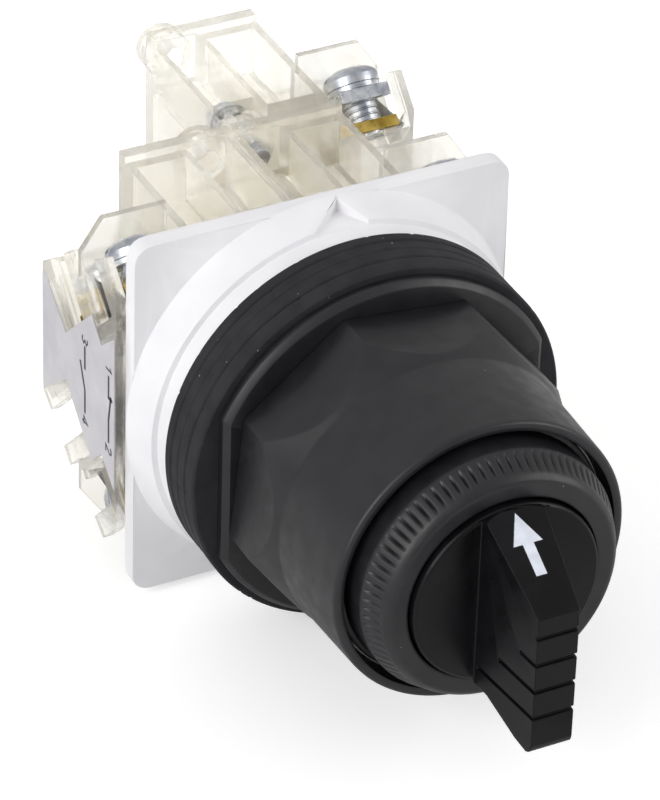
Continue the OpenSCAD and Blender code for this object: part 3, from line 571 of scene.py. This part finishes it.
# %% [markdown]
# The three gaskets are rings of soft rubber, one thick one between two thin ones. Their edges are soft, so
# a thin dark line parts one from the next, and a moulded groove runs round the middle of the thick one.
# Rubber is cut and squeezed, so a rim is never quite round: a slow wave of a few hundredths of a millimetre
# is added to it, with small nicks at a few places, different for each gasket. A bump in the material
# could draw all this, but it wouldn't change the outline, and the outline is where wear shows most.

# %% Rubber gaskets
EDGE, GROOVE_DEPTH, GROOVE_HALF, GROOVED_FROM = 0.22, 0.14, 0.16, 2.5
RIM_WAVE, RIM_WAVES_PER_TURN, RIM_FROM = 0.05, (2, 5, 9), 18
NICK_COUNT, NICK_DEPTH, NICK_WIDTH = 26, 0.1, 0.008    # the width is an angle in radians
RING_GAP, RING_STEPS = 0.01, 900


def gasket_section(r_in, r_out, rear, front):
    """Section of a gasket: a flat ring with soft outer edges, and with a groove where it is thick."""
    middle = (rear + front) / 2
    rim = [[r_out - EDGE, rear], [r_out, rear + EDGE], [r_out, front - EDGE], [r_out - EDGE, front]]
    if front - rear > GROOVED_FROM:
        rim[2:2] = [[r_out, middle - GROOVE_HALF], [r_out - GROOVE_DEPTH, middle],
                    [r_out, middle + GROOVE_HALF]]
    return filled_in(rounded([[r_in, rear]] + rim + [[r_in, front]], 0.06, 3), 0.25)


def worn_rim(seed):
    """A shape that lets the rim wander: three slow sine waves are added to the radius, and nicks
    depth * exp(-(angle / width)^2) are taken off near one of the rim's two edges."""
    dice = np.random.default_rng(seed)
    phase = dice.uniform(0, 2 * np.pi, 3)
    nicks = dice.uniform([0, 0.3, 0], [2 * np.pi, 1, 1], (NICK_COUNT, 3))

    def shape(a, r, f):
        middle = (f.min() + f.max()) / 2
        wave = RIM_WAVE * sum(np.sin(turns * a + start) / turns
                              for turns, start in zip(RIM_WAVES_PER_TURN, phase))
        for place, depth, edge in nicks:
            off = (a - place + np.pi) % (2 * np.pi) - np.pi
            near = (f > middle + 0.3) if edge > 0.5 else (f < middle - 0.3)
            wave = wave - NICK_DEPTH * depth * near * np.exp(-(off / NICK_WIDTH) ** 2)
        return r + (r > RIM_FROM) * wave
    return shape


for seed, node in enumerate(("gasket_rear", "gasket_middle", "gasket_front")):
    r_in, r_out, rear, front = ring_sizes(node)
    section = gasket_section(r_in, r_out - 2 * RING_GAP, rear + RING_GAP, front - RING_GAP)
    make_piece(node + "_soft", [carried_round(section, RING_STEPS, worn_rim(seed))], "gasket_rubber",
               "switch_body", (node,), 30)

# %% [markdown]
# The thrust washer has two flats, at its left and right. In polar terms a flat at distance d from the axis
# is the radius d / |cos a|, so the washer's rim is the lesser of that and its round radius. A chamfer runs
# all round its front edge, so both shrink together over the last part of its thickness. Cutting a disc
# with two boxes gives the same outline, but the formula keeps the grid even, and so the shading clean.

# %% Thrust washer
WASHER_FLAT, WASHER_EDGE, WASHER_STEPS = 17.8, 0.6, 720
r_in, r_out, rear, front = ring_sizes("thrust_washer")
washer_edge_at = front - WASHER_EDGE
washer_corners = [[r_in, rear], [r_out, rear], [r_out, washer_edge_at], [r_out - WASHER_EDGE, front],
                  [r_in, front]]
section = rounded(washer_corners, 0.1, 3)


def two_flats(a, r, f):
    """The lesser of the radius and flat / |cos a|, kept from falling below the bore. The flat's distance
    is WASHER_FLAT less the height above the chamfer's start."""
    flat = WASHER_FLAT - np.clip(f - washer_edge_at, 0, WASHER_EDGE)
    return np.maximum(np.minimum(r, flat / np.maximum(np.abs(np.cos(a)), 0.2)), r_in)


make_piece("thrust_washer_soft", [carried_round(section, WASHER_STEPS, two_flats)], "black_moulding",
           "switch_body", ("thrust_washer",), 25)

# %% [markdown]
# The ring nut is an eight-sided prism at its back and a long round collar in front, with a cone between
# them. A side of the prism, at the angle a from its middle, has the radius d / cos a. The cone cuts it
# where its own radius falls to that, so the crease between them rises and falls like a scallop. Each
# angle's section puts points on both sides of its own crease, which keeps the crease crisp and even.

# %% Ring nut
NUT_SIDES, NUT_TURN, NUT_CORNER_R, CORNER_SOFT = 8, 16.8, 18.0, 0.05
NUT_FLAT_LEN, NUT_CHAMFER_LEN, COLLAR_REAR_R, COLLAR_FRONT_R, RIM_ROUND = 4.2, 5.0, 16.3, 15.9, 0.5
r_in, r_out, rear, front = ring_sizes("ring_nut")
chamfer = rear + NUT_FLAT_LEN
collar = chamfer + NUT_CHAMFER_LEN
cone_slope = (NUT_CORNER_R - COLLAR_REAR_R) / NUT_CHAMFER_LEN
collar_slope = (COLLAR_REAR_R - COLLAR_FRONT_R) / (front - collar)


def nut_sections(off):
    """Radius and level of the nut's outline at each angle off from the middle of a side: the side at
    d / cos off, the cone from the crease at chamfer + (corner radius - side) / slope, then the collar."""
    side = np.minimum(NUT_CORNER_R * np.cos(np.pi / NUT_SIDES) / np.cos(off), NUT_CORNER_R - CORNER_SOFT)
    crease = chamfer + (NUT_CORNER_R - side) / cone_slope
    same = np.zeros_like(side)
    points = [(same + r_in, same + rear), (side - 0.2, same + rear), (side - 0.05, same + rear + 0.05),
              (side, same + rear + 0.2)]
    points += [(side, rear + 0.2 + (crease - 0.3 - rear - 0.2) * t) for t in (0.35, 0.7, 1.0)]
    points += [(side, crease - 0.05)]
    for f in (crease + 0.05, crease + 0.3, 0.5 * (crease + 0.3) + 0.5 * (collar - 0.3), same + collar - 0.3,
              same + collar - 0.06):
        points.append((NUT_CORNER_R - cone_slope * (f - chamfer), f))
    for t in (0.06, 0.3, 2.5, 5.0, 7.5, front - collar - RIM_ROUND - 0.3):
        points.append((same + COLLAR_REAR_R - collar_slope * t, same + collar + t))
    for turn in np.radians([0, 15, 30, 45, 60, 75, 90]):
        points.append((same + COLLAR_FRONT_R - RIM_ROUND + RIM_ROUND * np.cos(turn),
                       same + front - RIM_ROUND + RIM_ROUND * np.sin(turn)))
    points += [(same + r_in + 0.3, same + front), (same + r_in + 0.09, same + front - 0.09),
               (same + r_in, same + front - 0.3)]
    return np.stack([np.stack(point, axis=-1) for point in points], axis=1)


# One side spans 45 degrees. Its angles stand a degree apart, and closer together beside the corners.
HALF_SIDE = 180 / NUT_SIDES
half_side = np.concatenate([np.linspace(0, 21, 22), [21.5, 21.9, 22.1, 22.3]])
one_side = np.radians(np.concatenate([-half_side[:0:-1], half_side, [HALF_SIDE]]))
sections = np.tile(nut_sections(one_side), (NUT_SIDES, 1, 1))
side_at = np.radians(NUT_TURN + HALF_SIDE + 2 * HALF_SIDE * np.arange(NUT_SIDES))
angle = (side_at[:, None] + one_side[None, :]).reshape(-1, 1)
r, f = sections[..., 0], sections[..., 1]
nut_points = np.stack([r * np.cos(angle), -f, r * np.sin(angle)], axis=-1)
nut_shell = nut_points.reshape(-1, 3), [grid_faces(*f.shape)]
make_piece("ring_nut_soft", [nut_shell], "black_moulding", "switch_body", ("ring_nut",), 25)

# %% [markdown]
# The bezel ring screws or snaps into the barrel and holds the knob. Short grooves across its bevel give
# fingers a grip. One groove could be modelled and repeated, but its seams would have to match. Here a
# groove is a dip in the radius: depth times a narrow bump of the angle, faded in and out along the bevel,
# so that each groove ends softly as a milled one does.

# %% Knurled bezel
KNURL_COUNT, KNURL_DEPTH, KNURL_SHARPNESS, KNURL_STEPS = 84, 0.3, 5, 12
BEVEL_LEN, BEZEL_R, BEZEL_FRONT_R, BEZEL_LIP = 3.2, 13.9, 12.8, 2.0
SKIRT_R, SKIRT_BORE, BARREL_END, FLANGE_R, FLANGE_T = 12.55, 11.4, 26.0, 14.55, 0.6
r_in, r_out, rear, front = ring_sizes("bezel_ring")
bevel = front - BEVEL_LEN


def knurled(a, r, f):
    """The radius less KNURL_DEPTH (1/2 + 1/2 cos(count a))^sharpness, times a fade that is 1 in the
    middle of the bevel and 0 at its ends, on the outer side alone."""
    groove = (0.5 + 0.5 * np.cos(KNURL_COUNT * a)) ** KNURL_SHARPNESS
    fade = np.clip((f - bevel - 0.1) / 0.6, 0, 1) * np.clip((front - 0.7 - f) / 0.8, 0, 1)
    return r - KNURL_DEPTH * groove * fade * (r > BEZEL_FRONT_R - 0.2)


bezel_corners = [[r_in, front], [r_in, front - BEZEL_LIP], [SKIRT_BORE, front - BEZEL_LIP],
                 [SKIRT_BORE, rear], [SKIRT_R, rear], [SKIRT_R, BARREL_END], [FLANGE_R, BARREL_END],
                 [FLANGE_R, BARREL_END + FLANGE_T], [BEZEL_R, BARREL_END + FLANGE_T],
                 [BEZEL_R, bevel], [BEZEL_FRONT_R, front - 0.6], [BEZEL_FRONT_R - 0.6, front]]
section = filled_in(rounded(bezel_corners, 0.22, 3), 0.5)
make_piece("bezel_ring_knurled", [carried_round(section, KNURL_COUNT * KNURL_STEPS, knurled)],
           "black_moulding", "switch_body", ("bezel_ring",), 35)

# %% [markdown]
# The shaft seal is a round rubber ring and the detent ball is a ball. Both are hidden, and both are worked
# out from one circle, so that they are as round as the light needs.

# %% Shaft seal and detent ball
r_in, r_out, rear, front = ring_sizes("shaft_seal")
around = np.linspace(0, 2 * np.pi, 24, endpoint=False)
circle = np.stack([(r_in + r_out) / 2 + (r_out - r_in) / 2 * np.cos(around),
                   (rear + front) / 2 + (front - rear) / 2 * np.sin(around)], axis=-1)
make_piece("shaft_seal_round", [carried_round(circle, 144)], "gasket_rubber", "switch_body", ("shaft_seal",))


def ball(centre, radius):
    """A ball: rings of radius r sin(p) at height r cos(p), with p from near 0 to near pi."""
    p = np.linspace(0.02, np.pi - 0.02, 33)[:, None]
    a = np.linspace(0, 2 * np.pi, 48, endpoint=False)[None, :]
    rings = np.stack([np.sin(p) * np.cos(a), np.sin(p) * np.sin(a), np.cos(p) + 0 * a], axis=-1)
    return tube(centre + radius * rings)


low, high = (np.array(corner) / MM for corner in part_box("detent_ball"))
make_piece("detent_ball_round", [ball((low + high) / 2, (high - low).min() / 2)], "zinc_steel",
           "switch_body", ("detent_ball",))

# %% [markdown]
# A spring and a screw thread are the same idea: a small section carried along a helix. For a spring the
# section is a circle of wire. For a thread it is a low ridge, laid on the screw's shank. A curve with a
# bevel would do for the spring, but not for the thread, whose ridge must keep pointing outwards.

# %% Carry a section along a helix
def wound(radius, section, start, end, turns, per_turn=36):
    """Carries a closed section along a helix about z. At t turns a section point (out, up) lies at
    (R + out) (cos 2 pi t, sin 2 pi t), at the height start + (end - start) t / turns + up."""
    t = np.linspace(0, turns, int(turns * per_turn) + 1)[:, None]
    out, up = section[:, 0][None, :], section[:, 1][None, :]
    r = radius + out
    height = start + (end - start) * t / turns + up
    return np.stack([r * np.cos(2 * np.pi * t), r * np.sin(2 * np.pi * t), height + 0 * r], axis=-1)


def wire(radius):
    """The circle of a wire's section."""
    a = np.linspace(0, 2 * np.pi, 10, endpoint=False)
    return radius * np.stack([np.cos(a), np.sin(a)], axis=-1)


# %% [markdown]
# One spring presses the detent ball into the dimples of the cam, and each plunger has one that shortens as
# the knob pushes the plunger back. Here a return spring is joined to no body: it keeps the place of the solid
# one.

# %% Springs
RETURN_WIRE, RETURN_TURNS, DETENT_WIRE, DETENT_TURNS = 0.25, 5, 0.2, 6


def spring(node, wire_r, turns, plunger=None):
    """A wound spring that fills the box of the solid one, its axis along Y. A return spring, given with its
    plunger, is joined to no body and keeps its place in the world."""
    low, high = (np.array(corner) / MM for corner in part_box(node))
    middle = (low + high) / 2
    coil_r = (high - low)[0] / 2 - wire_r
    rings = wound(coil_r, wire(wire_r), low[1] + wire_r, high[1] - wire_r, turns)
    rings = np.stack([middle[0] + rings[..., 0], rings[..., 2], middle[2] + rings[..., 1]], axis=-1)
    piece = make_piece(node + "_wound", [tube(rings)], "spring_steel",
                       None if plunger else "switch_body", (node,))
    if plunger:
        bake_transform(piece)


spring("detent_spring", DETENT_WIRE, DETENT_TURNS)
for block in BLOCKS:
    spring(block + "_return_spring", RETURN_WIRE, RETURN_TURNS,
           "left_plunger" if block == "left" else "right_plunger")

# %% [markdown]
# The terminal screws lean back and out, and their shanks are in plain view because they are delivered
# backed out. Each gets a ridge wound round it at the pitch of its thread. The screws at the bottom are
# mirror images of those at the top, but a real thread is always right-handed, so the ridge isn't mirrored.

# %% Threads on the terminal screws
LEAN, SCREW_U, THREAD_R, THREAD_PITCH, THREAD_DEPTH = np.radians(45), 17.4, 1.75, 0.7, 0.16
SCREWS = ((6.6, 9.0, 13.6), (-2.2, 8.4, 13.6))    # a screw's place across, and its thread's two ends
THREAD_END = 0.4                                  # the bare length under the head
PLATE_BACK, BLOCK_PITCH = 8.3, 20.5
ridge = np.array([[-0.1, -0.3], [THREAD_DEPTH, -0.06], [THREAD_DEPTH, 0.06], [-0.1, 0.3]]) * [1, THREAD_PITCH]


def on_screw(rings, side, end, back, q):
    """Lays rings drawn about z on a leaning screw: across = y - q, then the height z leans back, so
    Y = back + across cos + z sin and Z = end (z cos - across sin)."""
    x, y, z = rings[..., 0], rings[..., 1] * end * side, rings[..., 2]
    across = y - q
    return np.stack([side * (SCREW_U + x), back + across * np.cos(LEAN) + z * np.sin(LEAN),
                     end * (z * np.cos(LEAN) - across * np.sin(LEAN))], axis=-1)


for block, side, back in (("left", -1, PLATE_BACK), ("right", 1, PLATE_BACK),
                          ("rear", 1, PLATE_BACK + BLOCK_PITCH)):
    shells = []
    for q, low, high in SCREWS:
        top = high - THREAD_END
        rings = wound(THREAD_R, ridge, low, top, (top - low) / THREAD_PITCH, 24)
        shells += [tube(on_screw(rings, side, end, back, q)) for end in (-1, 1)]
    make_piece(block + "_screw_threads", shells, "zinc_steel", "switch_body", (), 50)

# %% [markdown]
# The label on the left block shows two generic contact symbols, one that opens and one that closes, and
# the terminal numbers 1 to 4. Text objects would need a typeface, and a few strokes don't. Everything is
# drawn with a pen: a thin flat bar carried along a line, its corners mitred, so that the ink stands just
# proud of the paper.

# %% Ink on the label
PEN, INK_T, DIGIT_H = 0.34, 0.025, 1.3
DIGITS = {
    "1": [[0, 0.75], [0.3, 1], [0.3, 0]],
    "2": [[0, 0.8], [0.15, 1], [0.5, 1], [0.62, 0.75], [0, 0], [0.65, 0]],
    "3": [[0, 0.95], [0.3, 1], [0.58, 0.78], [0.25, 0.53], [0.6, 0.28], [0.3, 0], [0, 0.08]],
    "4": [[0.5, 0], [0.5, 1], [0, 0.3], [0.7, 0.3]],
}
label_low, label_high = (np.array(corner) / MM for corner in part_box("left_label"))


def pen_line(points, width=PEN):
    """A closed flat bar along a line on the label. Each point's two sides lie half a width out along the
    mean of its neighbours' normals, made longer by the bend, and the bar is INK_T thick."""
    line = np.asarray(points, float)
    step = np.diff(line, axis=0)
    step /= np.linalg.norm(step, axis=1)[:, None]
    normal = np.stack([-step[:, 1], step[:, 0]], axis=-1)
    mean = np.concatenate([normal[:1], normal[:-1] + normal[1:], normal[-1:]])
    mean /= np.linalg.norm(mean, axis=1)[:, None]
    first = np.concatenate([normal[:1], normal])
    out = mean * width / 2 / np.maximum((mean * first).sum(axis=1), 0.5)[:, None]
    paper = label_low[0] + 0.01
    ink = label_low[0] - INK_T
    corners = [(paper, line - out), (paper, line + out), (ink, line + out), (ink, line - out)]
    return tube(np.stack([np.stack([np.full(len(line), x), p[:, 0], p[:, 1]], axis=-1)
                          for x, p in corners], axis=1))


def digit(name, back, height):
    """A number that reads downwards, its top towards the front of the switch."""
    strokes = np.array(DIGITS[name]) * DIGIT_H
    return pen_line(np.stack([back - strokes[:, 1] + DIGIT_H / 2, height - strokes[:, 0]], axis=-1), 0.2)


def contact_symbol(back, numbers, closed):
    """Two leads in one line and an arm between them. A closed contact's arm crosses a stub on the far
    lead, and an open one's arm stands off from it."""
    lead, gap, open_off = 4.1, 1.3, 1.15
    arm = -0.55 if closed else open_off
    shells = [pen_line([[back, lead], [back, gap]]), pen_line([[back, -lead], [back, -gap]]),
              pen_line([[back, -gap], [back + arm, gap + 0.5]])]
    if closed:
        shells.append(pen_line([[back, gap + 0.15], [back - 0.9, gap + 0.15]]))
    return shells + [digit(numbers[0], back, lead + 1.1), digit(numbers[1], back, -lead - 0.5)]


SYMBOL_BACK = 1.6, 7.4
shells = contact_symbol(PLATE_BACK + SYMBOL_BACK[0], "12", True)
shells += contact_symbol(PLATE_BACK + SYMBOL_BACK[1], "34", False)
marks = make_piece("left_label_marks", shells, "label_paper", "switch_body")
marks.data.materials[0] = label_ink()

# %% [markdown]
# The switch stands on a white table, so the floor lies at its lowest point. Stronger lamps would turn the
# floor white, but the white body with it. So the floor is lit and shadowed like any white surface, and a
# little light of its own, for the camera and for clear plastic alone, takes the unshadowed part to pure
# white without putting more light on the object.

# %% Floor
FLOOR_GLOW, FLOOR_HALF = 0.42, 3.0    # strength, and half the table's width in metres


def seen_directly(tree):
    """1 for rays from the camera and for rays that come through clear plastic, and 0 for all others."""
    rays = add(tree, "LightPath")
    return add(tree, "Math", {0: rays.outputs["Is Camera Ray"], 1: rays.outputs["Is Transmission Ray"]},
               operation="MAXIMUM").outputs[0]


def floor_finish():
    """A white table whose shadows stay: plain white, plus a glow that is seen directly and lights nothing."""
    made, tree, shader = new_finish("white_table", "ECECEC", 0.9, Specular_IOR_Level=0.1)
    glow = add(tree, "Emission", {"Color": linear("FFFFFF"), "Strength": FLOOR_GLOW})
    dark = add(tree, "Emission", {"Strength": 0.0})
    chosen = add(tree, "MixShader", {0: seen_directly(tree), 1: dark.outputs[0], 2: glow.outputs[0]})
    shown_instead(tree, add(tree, "AddShader", {0: shader.outputs[0], 1: chosen.outputs[0]}))
    return made


floor_z = cad_box[0].z
corners = [(x * FLOOR_HALF, y * FLOOR_HALF, floor_z) for x, y in ((-1, -1), (1, -1), (1, 1), (-1, 1))]
floor_mesh = bpy.data.meshes.new("table")
floor_mesh.from_pydata(corners, [], [(0, 1, 2, 3)])
floor_mesh.materials.append(floor_finish())
table_top = bpy.data.objects.new("table", floor_mesh)
bpy.context.scene.collection.objects.link(table_top)
print("the table lies at %.2f mm" % (floor_z / MM))

# %% [markdown]
# The light is a photographer's tent. Most of its light comes from above and behind, and the room towards
# the camera is dim, which is why faces that look forwards are nearly black while tops and rims are grey.
# The tent's brightness is therefore a function of direction. Where the camera looks past the table, or
# through the clear plastic, it is plain white. Black plastic mirrors the tent itself, because a room that
# is white all round would turn it grey. Two soft lamps add the highlights.

# %% World and lamps
TENT_AXIS, TENT_DIM, TENT_BRIGHT, TENT_FROM, TENT_TO = (-0.1, 0.5, 0.86), 0.32, 0.72, -0.6, 0.9
KEY_WATTS, FILL_WATTS = 4.3, 2.3
world = bpy.data.worlds.new("white_tent")
bpy.context.scene.world = world
world.use_nodes = True
tree = world.node_tree
tree.nodes.clear()
direction = add(tree, "TexCoord").outputs["Generated"]
along = add(tree, "VectorMath", {0: direction, 1: TENT_AXIS}, operation="DOT_PRODUCT").outputs["Value"]
lit = spread(tree, along, TENT_DIM, TENT_BRIGHT, TENT_FROM, TENT_TO)
strength = spread(tree, seen_directly(tree), lit, 1.0, 0, 1)
sky = add(tree, "Background", {"Color": linear("FFFFFF"), "Strength": strength})
add(tree, "OutputWorld", {"Surface": sky.outputs[0]})


def soft_lamp(name, place, size, watts):
    """A square lamp that faces the middle of the switch."""
    lamp = bpy.data.lights.new(name, "AREA")
    lamp.shape = "SQUARE"
    lamp.size = size
    lamp.energy = watts
    holder = bpy.data.objects.new(name, lamp)
    bpy.context.scene.collection.objects.link(holder)
    place = Matrix.Translation(place)
    aim = (cad_box[0] + cad_box[1]) / 2 - place.translation
    holder.matrix_world = place @ aim.to_track_quat("-Z", "Y").to_matrix().to_4x4()
    print("%s lamp, %.1f W, %.2f m away" % (name, watts, aim.length))


soft_lamp("key", (-0.75, -0.3, 0.4), 0.6, KEY_WATTS)
soft_lamp("fill", (0.7, -0.35, 0.35), 0.5, FILL_WATTS)

# %% [markdown]
# The camera was fitted to corners and circles that can be read in the photograph, with the switch's own
# axes as the frame. Its place is kept as two turns about the switch, a roll, a distance, and how far the
# aim lies beside the middle of the plate. Turning a camera by eye until the view looks right is quicker,
# but then nothing can be measured in it. A long lens keeps the view nearly parallel.

# %% Camera
PICTURE_H, FOCAL_PX, SENSOR = 800, 5000, 36.0    # picture height and focal length in pixels, sensor in mm
YAW, PITCH, ROLL = np.radians([-27.67, 34.58, 1.86])
DISTANCE, AIM_RIGHT, AIM_UP = 513.0, 1.91, -3.4

backwards = np.array([np.sin(YAW) * np.cos(PITCH), -np.cos(YAW) * np.cos(PITCH), np.sin(PITCH)])
level = np.cross(-backwards, [0, 0, 1])
level /= np.linalg.norm(level)
upright = np.cross(level, -backwards)
right = np.cos(ROLL) * level + np.sin(ROLL) * upright
up = -np.sin(ROLL) * level + np.cos(ROLL) * upright
centre = np.array([0, PLATE_BACK, 0]) + AIM_RIGHT * right + AIM_UP * up + DISTANCE * backwards

lens = bpy.data.cameras.new("camera")
lens.sensor_width = SENSOR
lens.lens = FOCAL_PX * SENSOR / PICTURE_H
lens.clip_start, lens.clip_end = 0.05, 50
camera = bpy.data.objects.new("camera", lens)
bpy.context.scene.collection.objects.link(camera)
turn = Matrix(np.column_stack([right, up, backwards]).tolist()).to_4x4()
camera.matrix_world = Matrix.Translation((centre * MM).tolist()) @ turn
bpy.context.scene.camera = camera
bpy.context.scene.view_settings.view_transform = "Standard"
print("camera %.0f mm lens, %.0f mm from the plate" % (lens.lens, DISTANCE))
